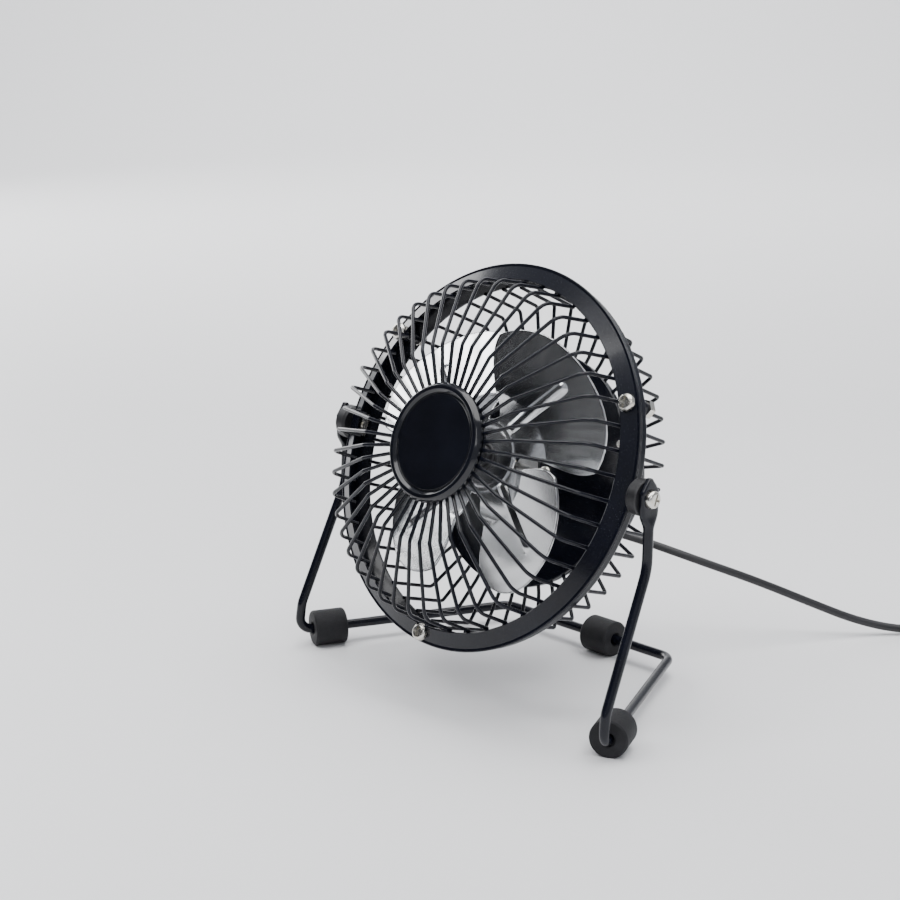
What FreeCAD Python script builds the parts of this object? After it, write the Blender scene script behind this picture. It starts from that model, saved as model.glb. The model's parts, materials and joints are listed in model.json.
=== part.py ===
"""Small metal desk fan on a bent-rod stand, with a USB lead.

Millimetres. +Z is up, the fan blows towards -Y. The origin is on the table, under the middle of the
fan without its lead. Pieces of the head are drawn in the head's own frame, whose Z is the fan's axis,
pointing forward, whose X is the pivot axis, and whose origin is where the two cross.
"""
import FreeCAD, Part
import math
import os

from FreeCAD import Placement, Rotation, Vector

# ---- driving dimensions -------------------------------------------------------------------------
TILT = 21.5                 # the head's upward tilt as it stands, degrees
PIVOT_Y = -10.7             # pivot axis, from the middle of the fan
PIVOT_Z = 82.0              # pivot axis above the table
GAP = 0.05                  # working gap between pieces that touch

SHEET = 0.8                 # steel sheet of the two rings
RIM_R = 66.5                # outside of the rings' lips
BAND_R = 65.6               # outside of the band between the lips and the rear cone
LIP_Z = 1.6                 # plane where the two lips meet
INNER_R = 60.2              # inner edge of both rings
FRONT_EDGE_Z = 5.0          # front of the front ring's inner edge
BAND_BACK_Z = -2.4          # where the band turns into the rear cone
REAR_EDGE_Z = -5.6          # back of the rear ring's inner edge

WIRES = 46                  # wires in each guard, the first straight up
WIRE_R = 0.65
SCREW_ANGLES = (26.0, 146.0, 266.0)     # ring screws, seen from the front, anticlockwise from +X
RING_SCREW_R = 63.1         # their pitch radius
SEAT_Z = 3.9                # where their heads sit
BOSS_BACK_Z = -4.6          # where their nuts sit
RING_BOSS_R = 2.4           # the flat bosses between them
SCREW_HEAD_R = 2.9
SCREW_HEAD_H = 1.9
M3_R = 1.5
M25_R = 1.25

CAP_R = 20.2
CAP_DISC_R = 16.8           # edge of the sunk disc in the cap
CAP_BACK_Z = 24.4
CAP_H = 2.7
KINK_R = 33.6               # where the front wires bend back
KINK_Z = 24.9
SHOULDER_R = 57.6           # corner of the front wires' outer bend
SHOULDER_Z = 16.6
SHOULDER_BEND = 5.5

PLATE_R = 41.5              # rear centre plate
PLATE_Z = -22.7             # its front face
PLATE_T = 1.0
REAR_BEND_R = 58.0          # corner of the rear wires' sharp bend
REAR_BEND_Z = -22.2
HOUSING_R = 30.0
HOUSING_BACK_Z = -52.0
HOUSING_T = 1.0
FLANGE_R = 41.0
HOUSING_SCREW_R = 39.2      # pitch radius of the flange's screws

BLADE_R = 48.0              # sweep of the fan blade
BLADE_T = 1.0
HUB_T = 1.4                 # the blade's pressed centre
PETALS = 4
PETAL_ANGLE = 47.0          # middle of the first petal, anticlockwise from +X
PETAL_ROOT_R = 11.0
BLADE_DISC_R = 13.0
PITCH = 20.0                # pitch of a petal beyond its root, degrees
BUSH_R = 3.4
SHAFT_R = 1.0

CAN_R = 12.2                # motor can
CAN_BACK_Z = -46.2
NOSE_R = 5.0
END_CAP_BACK_Z = -48.2
TERMINAL_X = 7.5

SWITCH_Y = 17.5
SWITCH_W = 15.0
SWITCH_H = 10.0
SWITCH_IN_Z = -41.0
ROCKER_ANGLE = 10.0         # how far the rocker leans in its off position

ROD_R = 1.7                 # stand rod
FOOT_R = 6.5
FOOT_L = 12.0
ROD_Z = 6.25                # the base's rod above the table
LEG_X = 72.0                # flattened ends of the legs
LEG_T = 1.8
FRONT_X = 74.5              # front bends of the base
FRONT_Y = -22.5             # from the pivot axis
BACK_X = 39.7               # rear bends of the base
BACK_Y = 52.0
REAR_FOOT_X = 8.2
BUSH_PIVOT_R = 6.0

CORD_D = 3.0
RELIEF_Y = -14.0            # where the lead leaves the housing's back, in the head's frame
RELIEF_L = 12.0
COIL_X = 104.0
COIL_Y = 150.0              # from the pivot axis
COIL_R = 17.0               # middle of the coil's turns
COIL_LAYERS = 4
COIL_ENTRY = 148.0          # where the lead meets the coil and leaves it, anticlockwise from +X
COIL_END = 45.0

SHELL_W = 12.0              # USB plug
SHELL_H = 4.5
SHELL_L = 15.0
GRIP_W = 15.6
GRIP_H = 8.0
GRIP_L = 24.0

HEAD = Placement(Vector(0, PIVOT_Y, PIVOT_Z), Rotation(Vector(1, 0, 0), 90 - TILT))


# ---- helpers ------------------------------------------------------------------------------------
def around(radius, angle, z=0.0):
    """A point at this radius and angle about Z."""
    turn = math.radians(angle)
    return Vector(radius * math.cos(turn), radius * math.sin(turn), z)


def revolved(outline):
    """A solid of revolution about Z. A step of the outline is (r, z), or (r, z, r, z) for an arc's
    middle and end."""
    at = Vector(outline[0][0], 0, outline[0][1])
    first = at
    edges = []
    for step in outline[1:] + [outline[0]]:
        end = Vector(step[-2], 0, step[-1]) if step is not outline[0] else first
        if len(step) == 4:
            edges.append(Part.Arc(at, Vector(step[0], 0, step[1]), end).toShape())
        else:
            edges.append(Part.LineSegment(at, end).toShape())
        at = end
    return Part.Face(Part.Wire(edges)).revolve(Vector(0, 0, 0), Vector(0, 0, 1), 360)


def disc(radius, z_low, z_high, x=0.0, y=0.0):
    """A cylinder along Z between two heights."""
    return Part.makeCylinder(radius, z_high - z_low, Vector(x, y, z_low))


def block(low, high):
    """A box between two corners."""
    return Part.makeBox(high[0] - low[0], high[1] - low[1], high[2] - low[2], Vector(*low))


def joined(first, *others):
    """One solid out of pieces that overlap."""
    return first.fuse(list(others)).removeSplitter()


def spun(shape, angles):
    """Copies of a shape turned about Z."""
    turned = [shape.rotated(Vector(0, 0, 0), Vector(0, 0, 1), angle) for angle in angles]
    return Part.makeCompound(turned)


def rounded_path(points, radii):
    """Straight runs joined by tangent arcs, one radius for each point between the ends."""
    edges = []
    at = points[0]
    for before, corner, after, radius in zip(points, points[1:], points[2:], radii):
        back = (before - corner).normalize()
        on = (after - corner).normalize()
        half = (math.pi - back.getAngle(on)) / 2
        reach = radius * math.tan(half)
        start = corner + back * reach
        end = corner + on * reach
        middle = corner + (back + on).normalize() * (radius / math.cos(half) - radius)
        if (start - at).Length > 1e-4:
            edges.append(Part.LineSegment(at, start).toShape())
        edges.append(Part.Arc(start, middle, end).toShape())
        at = end
    edges.append(Part.LineSegment(at, points[-1]).toShape())
    return Part.Wire(edges)


def swept(points, radii, tube_r):
    """A round rod, wire or lead along a rounded path."""
    path = rounded_path(points, radii)
    ring = Part.makeCircle(tube_r, points[0], points[1] - points[0])
    return path.makePipeShell([Part.Wire([ring])], True, False)


def pan_head_screw(radius, head_r, head_h, length):
    """A pan-head screw along Z, its head's seat at z = 0 and its shank below, with a cross recess."""
    dome = [(0, 0), (head_r, 0), (head_r, head_h * 0.45),
            (head_r * 0.86, head_h * 0.86, head_r * 0.55, head_h), (0, head_h)]
    head = revolved(dome)
    slot = head_r * 0.62
    width = head_r * 0.13
    depth = head_h * 0.55
    cross = block((-slot, -width, depth), (slot, width, head_h + 1))
    cross = cross.fuse(block((-width, -slot, depth), (width, slot, head_h + 1)))
    return joined(head.cut(cross), disc(radius, -length, 0.0))


# ---- rings and guards ---------------------------------------------------------------------------
def ring_screw_points():
    return [around(RING_SCREW_R, angle) for angle in SCREW_ANGLES]


def with_bosses(ring, seat_low, seat_high, boss_low, boss_high):
    """The ring with a round recess, a boss and a hole at each of its three screws."""
    for point in ring_screw_points():
        ring = ring.cut(disc(SCREW_HEAD_R + 0.3, seat_low, seat_high, point.x, point.y))
        ring = ring.fuse(disc(RING_BOSS_R, boss_low, boss_high, point.x, point.y))
        ring = ring.cut(disc(M3_R + 0.05, -20, 20, point.x, point.y))
    return ring


def front_ring():
    """Pressed steel ring: a lip, then a cone rising forward to the inner edge."""
    lip_front = LIP_Z + SHEET
    ring = revolved([(INNER_R, FRONT_EDGE_Z - SHEET), (BAND_R - 0.5, LIP_Z), (RIM_R - 0.4, LIP_Z),
                     (RIM_R, LIP_Z + SHEET / 2, RIM_R - 0.4, lip_front), (BAND_R - 0.2, lip_front),
                     (INNER_R + 0.4, FRONT_EDGE_Z - 0.15), (INNER_R, FRONT_EDGE_Z - 0.4)])
    return with_bosses(ring, SEAT_Z - GAP, 20, LIP_Z + 0.1, SEAT_Z)


def rear_ring():
    """Pressed steel ring: a lip, a band round the outside and a cone to the inner edge."""
    lip_front = LIP_Z - GAP
    lip_back = lip_front - SHEET
    ring = revolved([(BAND_R - SHEET, lip_front), (RIM_R - 0.6, lip_front),
                     (RIM_R - 0.2, lip_front - SHEET / 2, RIM_R - 0.6, lip_back), (BAND_R, lip_back),
                     (BAND_R, BAND_BACK_Z + 0.5),
                     (BAND_R - 0.1, BAND_BACK_Z + 0.1, BAND_R - 0.4, BAND_BACK_Z - 0.2),
                     (INNER_R, REAR_EDGE_Z), (INNER_R, REAR_EDGE_Z + SHEET),
                     (BAND_R - SHEET, BAND_BACK_Z + 0.45)])
    ring = with_bosses(ring, -20, BOSS_BACK_Z + GAP, BOSS_BACK_Z, LIP_Z - 0.4)
    pivot = Part.makeCylinder(M25_R + 0.1, 4 * RIM_R, Vector(-2 * RIM_R, 0, 0), Vector(1, 0, 0))
    return ring.cut(pivot)


def wire_angles(steps=range(WIRES)):
    """The angles that lie this many wire pitches from straight up."""
    return [90.0 + step * 360.0 / WIRES for step in steps]


def front_guard_wires():
    """Bent wires from under the cap, over the inner kink and the shoulder, back to the ring."""
    inside = INNER_R - WIRE_R - GAP
    points = [Vector(13.0, 0, KINK_Z - 1.9), Vector(KINK_R, 0, KINK_Z),
              Vector(SHOULDER_R, 0, SHOULDER_Z), Vector(inside, 0, 3.2)]
    return spun(swept(points, [2.0, SHOULDER_BEND], WIRE_R), wire_angles())


def rear_guard_wires():
    """Bent wires from the rear ring, round a sharp bend, in to the rear centre plate."""
    inside = INNER_R - WIRE_R - GAP
    plate_back = PLATE_Z - PLATE_T
    weld_z = plate_back - WIRE_R - GAP
    points = [Vector(inside, 0, -3.6), Vector(REAR_BEND_R, 0, REAR_BEND_Z),
              Vector(PLATE_R + 2.5, 0, weld_z), Vector(PLATE_R - 3.5, 0, weld_z)]
    return spun(swept(points, [1.4, 8.0], WIRE_R), wire_angles())


def front_centre_plate():
    """The disc that the front wires are welded to, behind the cap."""
    front = KINK_Z - 1.9 - WIRE_R - GAP
    return disc(18.6, front - PLATE_T, front)


def badge_cap():
    """Round cap: a raised rounded rim, a groove and a flat sunk disc, on a short stem."""
    top = CAP_BACK_Z + CAP_H
    sunk = top - 1.1
    rim = [(0, CAP_BACK_Z), (CAP_R - 0.3, CAP_BACK_Z), (CAP_R, CAP_BACK_Z + 0.5),
           (CAP_R - 0.4, top - 0.7, CAP_R - 1.5, top), (CAP_DISC_R + 0.9, top),
           (CAP_DISC_R + 0.3, top - 0.2, CAP_DISC_R, top - 0.8), (CAP_DISC_R, sunk - 0.3),
           (CAP_DISC_R - 0.6, sunk - 0.3), (CAP_DISC_R - 0.9, sunk), (0, sunk)]
    stem_low = KINK_Z - 1.9 - WIRE_R
    return joined(revolved(rim), disc(7.0, stem_low, CAP_BACK_Z + 0.5))


def rear_centre_plate():
    """Disc behind the blades that carries the rear wires, the motor and its housing."""
    back = PLATE_Z - PLATE_T
    plate = revolved([(0, back), (PLATE_R, back), (PLATE_R, PLATE_Z - 0.3), (PLATE_R - 0.3, PLATE_Z),
                      (0, PLATE_Z)])
    plate = plate.cut(disc(NOSE_R + GAP, back - 1, PLATE_Z + 1))
    for point in housing_screw_points():
        plate = plate.cut(disc(M25_R, back - 1, PLATE_Z + 1, point.x, point.y))
    for x in motor_screw_places():
        plate = plate.cut(disc(M25_R + 0.05, back - 1, PLATE_Z + 1, x, 0))
    return plate


def ring_screws():
    """Three pan-head screws that clamp the two rings."""
    screw = pan_head_screw(M3_R, SCREW_HEAD_R, SCREW_HEAD_H, SEAT_Z - BOSS_BACK_Z + 2.6)
    return Part.makeCompound([screw.translated(p + Vector(0, 0, SEAT_Z)) for p in ring_screw_points()])


def ring_nuts():
    """Their hexagon nuts."""
    corners = [around(5.5 / math.sqrt(3), 60 * n) for n in range(6)]
    hexagon = Part.Face(Part.makePolygon(corners + corners[:1]))
    nut = hexagon.extrude(Vector(0, 0, -2.4)).cut(disc(M3_R + 0.01, -5, 5))
    seat = Vector(0, 0, BOSS_BACK_Z)
    return Part.makeCompound([nut.translated(p + seat) for p in ring_screw_points()])


# ---- fan blade and motor ------------------------------------------------------------------------
def petal_half_angle(radius):
    """Half the angle that a petal covers at a radius, degrees."""
    share = (radius - PETAL_ROOT_R) / (BLADE_R - PETAL_ROOT_R)
    return 33.0 + 13.0 * math.sin(math.pi * min(1.0, share * 0.72)) - 7.0 * share ** 5


def petal_point(share, side):
    """A point of a petal's middle surface: share runs from root to tip, side from -1 to 1."""
    tip = BLADE_R * (1 - 0.13 * abs(side) ** 4)
    radius = PETAL_ROOT_R + (tip - PETAL_ROOT_R) * share
    across = math.radians(side * petal_half_angle(radius))
    twist = math.radians(PITCH) * min(1.0, max(0.0, (radius - PETAL_ROOT_R) / 12.0)) ** 1.5
    return Vector(radius * math.cos(across), radius * math.sin(across) * math.cos(twist),
                  radius * math.sin(across) * math.sin(twist))


def fan_blade():
    """Four pitched petals round a flat disc, pressed out of one aluminium sheet."""
    rows = [[petal_point(n / 8.0, m / 5.0) for m in range(-5, 6)] for n in range(9)]
    surface = Part.BSplineSurface()
    surface.interpolate(rows)
    petal = surface.toShape().makeOffsetShape(BLADE_T, 0.01, fill=True)
    if petal.ShapeType != "Solid":
        petal = petal.Solids[0]
    if petal.Volume < 0:
        petal.reverse()
    middle = petal.BoundBox.ZMin + petal.BoundBox.ZLength / 2
    petal.translate(Vector(0, 0, -middle))
    petals = spun(petal, [PETAL_ANGLE + 360.0 * n / PETALS for n in range(PETALS)])
    centre = disc(BLADE_DISC_R, -HUB_T / 2, HUB_T / 2)
    return joined(centre, *petals.Solids).cut(disc(BUSH_R + 0.01, -5, 5))


def blade_bush():
    """Brass bush, flanged behind the blade and swaged over in front of it."""
    half = HUB_T / 2 + 0.02
    bush = joined(disc(BUSH_R, -6.0, 3.4), disc(6.0, -half - 1.2, -half))
    bush = joined(bush, revolved([(0, half), (4.6, half), (4.2, half + 0.7), (0, half + 0.9)]))
    return bush.cut(disc(SHAFT_R + 0.005, -10, 10))


def rotor_shaft():
    return disc(SHAFT_R, END_CAP_BACK_Z - 1.0, 2.9)


def motor_can():
    """Drawn steel can, open at the back, with a nose round the front bearing."""
    front = PLATE_Z - PLATE_T - GAP
    can = disc(CAN_R, CAN_BACK_Z, front).cut(disc(CAN_R - 0.9, CAN_BACK_Z - 1, front - 1.0))
    can = joined(can, disc(NOSE_R, front - 1.0, PLATE_Z + 1.2))
    can = can.cut(disc(3.0, front - 3, PLATE_Z + 5))
    for x in motor_screw_places():
        can = can.cut(disc(M25_R + 0.01, front - 3, front + 1, x, 0))
    return can


def motor_screw_places():
    return (-8.0, 8.0)


def motor_screws():
    """Two screws through the plate into the can's front."""
    screw = pan_head_screw(M25_R, 2.3, 1.4, 2.6)
    return Part.makeCompound([screw.translated(Vector(x, 0, PLATE_Z)) for x in motor_screw_places()])


def front_bearing():
    front = PLATE_Z + 1.2
    return disc(3.0 - 0.01, front - 3.0, front).cut(disc(SHAFT_R + 0.03, front - 5, front + 1))


def motor_magnets():
    """Two curved magnets inside the can."""
    low = CAN_BACK_Z + 4.0
    high = PLATE_Z - PLATE_T - 3.0
    ring = disc(CAN_R - 0.95, low, high).cut(disc(9.0, low - 1, high + 1))
    gap = block((-3.0, -20, low - 1), (3.0, 20, high + 1))
    return Part.makeCompound(ring.cut(gap).Solids)


def armature_core():
    """Three-pole stack of laminations on the shaft."""
    low = CAN_BACK_Z + 6.5
    high = PLATE_Z - PLATE_T - 6.0
    poles = disc(3.2, low, high)
    for n in range(3):
        arm = block((0, -1.4, low), (7.6, 1.4, high))
        shoe = disc(8.6, low, high).cut(disc(7.2, low - 1, high + 1))
        shoe = shoe.common(block((4.5, -6.0, low), (9.0, 6.0, high)))
        turned = joined(arm, shoe).rotated(Vector(0, 0, 0), Vector(0, 0, 1), 120.0 * n)
        poles = poles.fuse(turned)
    return poles.removeSplitter().cut(disc(SHAFT_R + 0.005, low - 1, high + 1))


def armature_windings():
    """A wound coil round each pole's arm."""
    low = CAN_BACK_Z + 6.5
    high = PLATE_Z - PLATE_T - 6.0
    coil = block((3.6, -2.7, low - 1.3), (6.5, 2.7, high + 1.3))
    coil = coil.cut(block((3.0, -1.45, low - GAP), (8.0, 1.45, high + GAP)))
    coils = spun(coil.makeFillet(0.5, outer_edges(coil, 2.7)), [0, 120, 240])
    return coils


def outer_edges(shape, y):
    """The long edges on a block's two outer sides."""
    picked = []
    for edge in shape.Edges:
        ends = [vertex.Point for vertex in edge.Vertexes]
        if all(abs(abs(p.y) - y) < 1e-6 for p in ends) and abs(ends[0].x - ends[1].x) < 1e-6:
            picked.append(edge)
    return picked


def commutator():
    return disc(2.4, CAN_BACK_Z + 0.2, CAN_BACK_Z + 4.4).cut(disc(SHAFT_R + 0.005, -60, 0))


def motor_end_cap():
    """Moulded end of the motor that holds the rear bearing and the brushes."""
    cap = disc(CAN_R, END_CAP_BACK_Z, CAN_BACK_Z - GAP)
    cap = joined(cap, disc(4.0, END_CAP_BACK_Z - 1.2, CAN_BACK_Z - 0.5))
    cap = cap.cut(disc(2.2, END_CAP_BACK_Z - 3, CAN_BACK_Z + 1))
    for side in (-1, 1):
        slot = block((side * TERMINAL_X - 1.3, -0.5, -60), (side * TERMINAL_X + 1.3, 0.5, -40))
        cap = cap.cut(slot)
    return cap


def rear_bearing():
    low = END_CAP_BACK_Z - 0.9
    return disc(2.19, low, CAN_BACK_Z - 0.4).cut(disc(SHAFT_R + 0.03, -60, 0))


def motor_brushes():
    """Two spring blades that press on the commutator."""
    blade = block((2.45, -0.9, CAN_BACK_Z + 1.4), (2.75, 0.9, CAN_BACK_Z + 3.4))
    arm = block((2.75, -0.9, CAN_BACK_Z + 1.4), (6.0, 0.9, CAN_BACK_Z + 1.7))
    foot = block((5.7, -0.9, CAN_BACK_Z), (6.0, 0.9, CAN_BACK_Z + 1.7))
    return spun(joined(blade, arm, foot), [0, 180])


def motor_terminals():
    """Two tags that come out of the motor's end."""
    tag = block((TERMINAL_X - 1.2, -0.4, -49.9), (TERMINAL_X + 1.2, 0.4, CAN_BACK_Z + 0.6))
    return spun(tag, [0, 180])


# ---- housing, switch and leads ------------------------------------------------------------------
def housing_screw_points():
    """On the housing's flange, half way between two wires and near the ring screws' angles."""
    gaps = [round((angle - 90.0) * WIRES / 360.0 - 0.5) + 0.5 for angle in SCREW_ANGLES]
    return [around(HOUSING_SCREW_R, angle) for angle in wire_angles(gaps)]


def motor_housing():
    """Drawn steel cup with a flange, a rounded back edge, a switch cut-out and a cord hole."""
    flange_front = PLATE_Z - PLATE_T - 2 * WIRE_R - 3 * GAP
    flange_back = flange_front - HOUSING_T
    inner_r = HOUSING_R - HOUSING_T
    cup = revolved([(inner_r, flange_front), (FLANGE_R, flange_front), (FLANGE_R, flange_back),
                    (HOUSING_R, flange_back), (HOUSING_R, HOUSING_BACK_Z + 4.0),
                    (HOUSING_R - 1.2, HOUSING_BACK_Z + 1.2, HOUSING_R - 4.0, HOUSING_BACK_Z),
                    (0, HOUSING_BACK_Z), (0, HOUSING_BACK_Z + HOUSING_T),
                    (HOUSING_R - 4.0, HOUSING_BACK_Z + HOUSING_T),
                    (HOUSING_R - 1.9, HOUSING_BACK_Z + 1.9, inner_r, HOUSING_BACK_Z + 4.0)])
    cup = cup.cut(block((-SWITCH_W / 2, SWITCH_Y - SWITCH_H / 2, -60),
                        (SWITCH_W / 2, SWITCH_Y + SWITCH_H / 2, -45)))
    cup = cup.cut(disc(2.6, -60, -45, 0, RELIEF_Y))
    for point in housing_screw_points():
        cup = cup.cut(disc(M25_R, -40, 0, point.x, point.y))
    return cup


def housing_screws():
    """Three screws through the housing's flange into the rear centre plate."""
    seat = PLATE_Z - PLATE_T - 2 * WIRE_R - 3 * GAP - HOUSING_T
    screw = pan_head_screw(M25_R - 0.05, 1.9, 1.3, PLATE_Z - seat - 0.1)
    screw = screw.rotated(Vector(0, 0, 0), Vector(1, 0, 0), 180)
    return Part.makeCompound([screw.translated(p + Vector(0, 0, seat)) for p in housing_screw_points()])


def switch_body():
    """Rocker switch's frame and body, snapped into the housing's back."""
    play = 0.1
    half_w = SWITCH_W / 2
    half_h = SWITCH_H / 2
    back = HOUSING_BACK_Z
    body = block((play - half_w, play - half_h, back), (half_w - play, half_h - play, SWITCH_IN_Z))
    bezel = block((-half_w - 1.0, -half_h - 1.0, back - 1.6), (half_w + 1.0, half_h + 1.0, back))
    well = block((1.2 - half_w, 1.2 - half_h, back - 3), (half_w - 1.2, half_h - 1.2, back + 6.5))
    body = joined(body, bezel).cut(well)
    pins = Part.makeCylinder(0.8, SWITCH_W - 1.0, Vector(0.5 - half_w, 0, back + 0.6), Vector(1, 0, 0))
    return body.cut(pins).translated(Vector(0, SWITCH_Y, 0))


def switch_rocker():
    """Rocker, leaning to its off side, on two pins."""
    half_w = SWITCH_W / 2 - 1.5
    half_h = SWITCH_H / 2 - 1.9
    top = HOUSING_BACK_Z - 2.6
    pivot = HOUSING_BACK_Z + 0.6
    outline = [Vector(0, -half_h, top - 0.3), Vector(0, 0, top + 0.5), Vector(0, half_h, top - 0.3),
               Vector(0, half_h, pivot + 0.4), Vector(0, 0, pivot + 2.6), Vector(0, -half_h, pivot + 0.4)]
    side = Part.Face(Part.makePolygon(outline + outline[:1]))
    rocker = side.extrude(Vector(2 * half_w, 0, 0)).translated(Vector(-half_w, 0, 0))
    pins = Part.makeCylinder(0.72, SWITCH_W - 1.6, Vector(-half_w - 0.7, 0, pivot), Vector(1, 0, 0))
    rocker = joined(rocker, pins).rotated(Vector(0, 0, pivot), Vector(1, 0, 0), ROCKER_ANGLE)
    return rocker.translated(Vector(0, SWITCH_Y, 0))


def switch_terminals():
    tag = block((-0.4, -1.2, SWITCH_IN_Z), (0.4, 1.2, SWITCH_IN_Z + 5.0))
    tags = [tag.translated(Vector(x, SWITCH_Y, 0)) for x in (-4.0, 4.0)]
    return Part.makeCompound(tags)


def lead(points):
    """A thin insulated lead inside the housing."""
    spots = [Vector(*p) for p in points]
    return swept(spots, [2.0] * (len(spots) - 2), 0.6)


def lead_supply():
    return lead([(1.0, RELIEF_Y, -47.5), (4, RELIEF_Y - 2, -42), (22, -8, -38), (24, 12, -35),
                 (9, 23, -32), (5.1, SWITCH_Y, -36.2)])


def lead_switched():
    return lead([(-5.1, SWITCH_Y, -36.2), (-9, 22, -32), (-21, 10, -37), (-18, 3, -47), (-9.6, 0, -49.5)])


def lead_return():
    return lead([(-1.0, RELIEF_Y, -47.5), (-2, RELIEF_Y - 3, -42), (12, -18, -37), (20, -6, -44),
                 (15, -1, -48.6), (9.6, 0, -49.5)])


def strain_relief():
    """Tapered rubber sleeve, grooved into the housing's back, that the lead comes out of."""
    back = HOUSING_BACK_Z
    sleeve = revolved([(0, back - RELIEF_L), (2.0, back - RELIEF_L), (3.0, back - 1.2), (3.9, back - 1.2),
                       (3.9, back - GAP), (2.55, back - GAP), (2.55, back + HOUSING_T + GAP),
                       (3.6, back + HOUSING_T + GAP), (3.6, back + HOUSING_T + 1.4),
                       (0, back + HOUSING_T + 1.4)])
    return sleeve.translated(Vector(0, RELIEF_Y, 0))


# ---- pivots -------------------------------------------------------------------------------------
def pivot_bush(side):
    """Black spacer between the rings and the leg."""
    inner = RIM_R + 0.1
    outer = LEG_X - LEG_T / 2 - GAP
    bush = revolved([(M25_R + 0.02, inner), (BUSH_PIVOT_R - 0.8, inner), (BUSH_PIVOT_R, inner + 0.9),
                     (BUSH_PIVOT_R, outer - 0.4), (BUSH_PIVOT_R - 0.4, outer), (M25_R + 0.02, outer)])
    return towards(bush, side)


def pivot_screw(side):
    """Silver pan-head screw through the leg and the spacer into the nut."""
    seat = LEG_X + LEG_T / 2 + GAP
    screw = pan_head_screw(M25_R, SCREW_HEAD_R, SCREW_HEAD_H, seat - 61.5)
    return towards(screw.translated(Vector(0, 0, seat)), side)


def pivot_nut(side):
    """Threaded plate inside the rings' band."""
    back = BAND_R - SHEET - 0.55
    nut = block((-4.0, -1.7, back - 2.4), (4.0, 1.7, back)).cut(disc(M25_R + 0.01, 0, 80))
    turned = nut.rotated(Vector(0, 0, 0), Vector(0, 0, 1), 90)
    return towards(turned, side)


def towards(shape, side):
    """Turn a piece drawn along +Z so that it points along the pivot axis, to +X or -X."""
    return shape.rotated(Vector(0, 0, 0), Vector(0, 1, 0), 90 * side)


# ---- stand --------------------------------------------------------------------------------------
def leg_points(side):
    """From just under the pivot down to the front bend of the base."""
    return [Vector(side * LEG_X, PIVOT_Y, PIVOT_Z - 7.0), Vector(side * (LEG_X + 0.3), PIVOT_Y - 0.6, 59.0),
            Vector(side * (FRONT_X - 0.4), PIVOT_Y - 21.0, 16.5),
            Vector(side * FRONT_X, PIVOT_Y + FRONT_Y, ROD_Z)]


def stand_rod():
    """One steel rod: two legs, two rails and the rear crossbar, with its ends pressed flat."""
    back = [Vector(BACK_X, PIVOT_Y + BACK_Y, ROD_Z), Vector(-BACK_X, PIVOT_Y + BACK_Y, ROD_Z)]
    points = leg_points(1) + back + leg_points(-1)[::-1]
    radii = [20.0, 9.0, 4.6, 6.5, 6.5, 4.6, 9.0, 20.0]
    rod = swept(points, radii, ROD_R)
    return joined(rod, leg_end(1), leg_end(-1))


def leg_end(side):
    """The flat end of a leg, with its screw hole."""
    outline = [(-3.9, -5.5), (-3.9, 3.2), (-0.6, 6.6), (1.6, 6.6), (3.9, 4.2), (3.9, -5.5),
               (1.6, -9.5), (-1.6, -9.5)]
    low = side * LEG_X - LEG_T / 2
    corners = [Vector(low, PIVOT_Y + y, PIVOT_Z + z) for y, z in outline]
    plate = Part.Face(Part.makePolygon(corners + corners[:1])).extrude(Vector(LEG_T, 0, 0))
    hole = Part.makeCylinder(M25_R + 0.06, 10, Vector(low - 4, PIVOT_Y, PIVOT_Z), Vector(1, 0, 0))
    return plate.cut(hole)


def foot(centre, along):
    """Rubber sleeve on the rod, chamfered at both ends and worn flat where it rests."""
    half = FOOT_L / 2
    sleeve = revolved([(ROD_R + 0.02, -half), (FOOT_R - 0.9, -half), (FOOT_R, -half + 0.8),
                       (FOOT_R, half - 0.8), (FOOT_R - 0.9, half), (ROD_R + 0.02, half)])
    sleeve.Placement = Placement(centre, Rotation(Vector(0, 0, 1), along))
    under = block((-200, -200, -20), (200, 200, 0))
    return sleeve.cut(under)


def front_foot(side):
    bend = Vector(side * FRONT_X, PIVOT_Y + FRONT_Y, ROD_Z)
    along = (Vector(side * BACK_X, PIVOT_Y + BACK_Y, ROD_Z) - bend).normalize()
    return foot(bend + along * (5.2 + FOOT_L / 2), along)


def rear_foot():
    return foot(Vector(REAR_FOOT_X, PIVOT_Y + BACK_Y, ROD_Z), Vector(1, 0, 0))


# ---- lead, coil and plug ------------------------------------------------------------------------
def lead_exit():
    """Where the lead leaves the strain relief."""
    return HEAD.multVec(Vector(0, RELIEF_Y, HOUSING_BACK_Z - RELIEF_L))


def cord_radii(points):
    """The largest arcs that the runs allow."""
    radii = []
    for before, corner, after in zip(points, points[1:], points[2:]):
        turn = (corner - before).getAngle(after - corner)
        shorter = min((corner - before).Length, (after - corner).Length)
        radii.append(0.45 * shorter / math.tan(turn / 2))
    return radii


def free_cord(name, points):
    """A stretch of the lead. Its radii and its volume are printed."""
    radii = cord_radii(points)
    tube = swept(points, radii, CORD_D / 2)
    length = rounded_path(points, radii).Length
    share = tube.Volume / (math.pi * CORD_D ** 2 / 4 * length)
    print(name, "length", round(length, 1), "volume share", round(share, 4),
          "radii", [round(r, 1) for r in radii])
    return tube


def cord_points():
    """Out of the housing, down behind the fan to the table and off to the right."""
    floor = CORD_D / 2
    start = lead_exit()
    onward = HEAD.Rotation.multVec(Vector(0, 0, -1))
    route = [(3.0, 69.0, 39.6), (12.0, 76.0, 36.2), (24.5, 86.5, 30.5), (38.0, 102.5, 22.4),
             (51.0, 118.0, 13.5), (64.0, 132.0, 5.5), (76.0, 145.5, floor)]
    middle = [Vector(x, PIVOT_Y + y, z) for x, y, z in route]
    coil = Vector(COIL_X, PIVOT_Y + COIL_Y, floor) + around(COIL_R + CORD_D, COIL_ENTRY)
    return [start, start + onward * 7.0] + middle + [coil]


def usb_cord():
    return free_cord("usb_cord", cord_points())


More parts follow.
